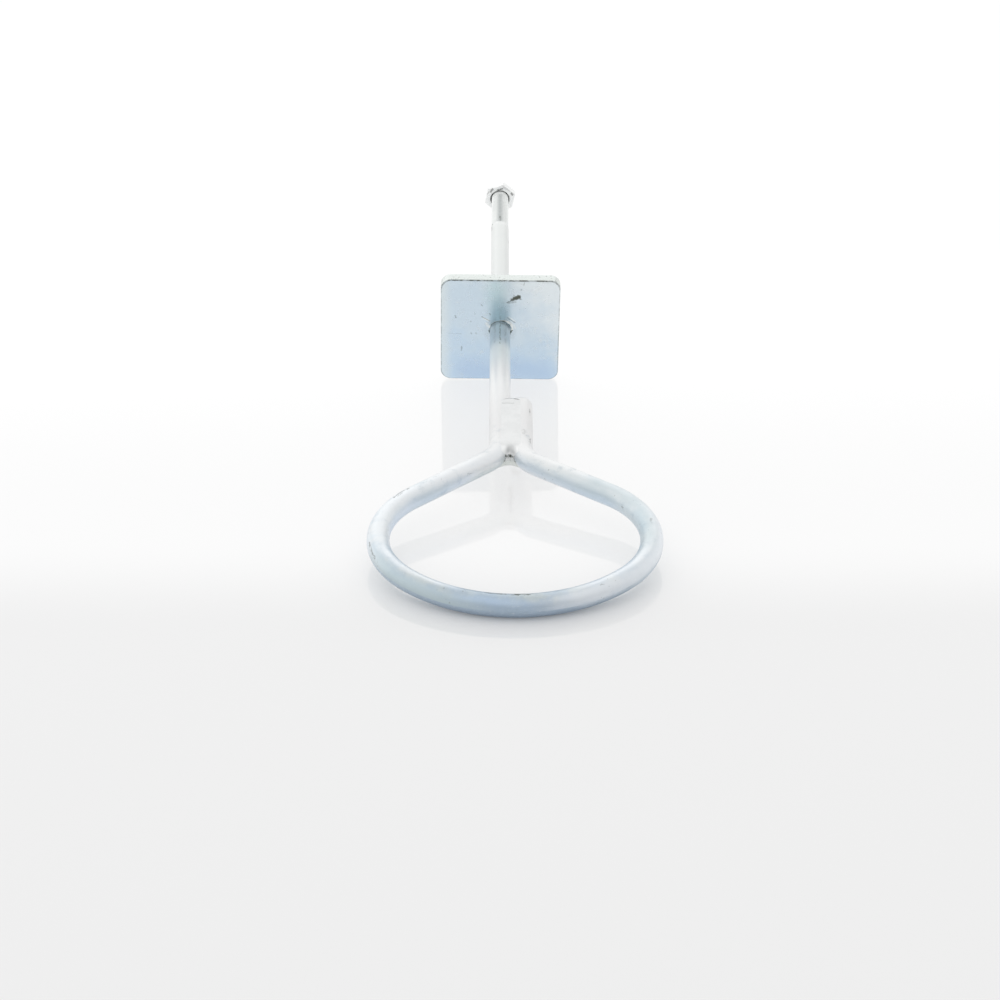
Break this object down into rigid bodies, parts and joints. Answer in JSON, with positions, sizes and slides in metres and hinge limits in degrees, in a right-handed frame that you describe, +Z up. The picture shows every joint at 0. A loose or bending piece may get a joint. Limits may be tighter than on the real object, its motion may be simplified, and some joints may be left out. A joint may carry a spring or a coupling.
{
  "type": "ring anchor bolt",
  "caption": "Round steel bar bent into an eye ring and welded shut, with a square plate on its shank, a threaded rod behind the plate and a thin hexagon nut.",
  "frame": {"origin": "on the ground under the middle of the whole object, as it lies at rest", "axes": "+Y from the ring towards the threaded end, +X to the side on which the stub lies, +Z up from the ground"},
  "size_m": [0.115, 0.326, 0.0528],
  "materials": {
    "zinc_bar": "blue-white zinc plate, fairly bright",
    "zinc_plate": "blue-white zinc plate, satin",
    "weld": "rough weld bead, zinc plated",
    "zinc_nut": "zinc plate"
  },
  "bodies": {
    "bolt": {"ring_bar": "zinc_bar", "plate": "zinc_plate", "plate_weld": "weld", "neck_weld": "weld"},
    "nut": {"hex_nut": "zinc_nut"}
  },
  "joints": [
    {"name": "nut_travel", "type": "slide", "parent": "bolt", "child": "nut", "axis": [0, 0.985, 0.1727], "range_m": [-0.0255, 0.003]}
  ]
}
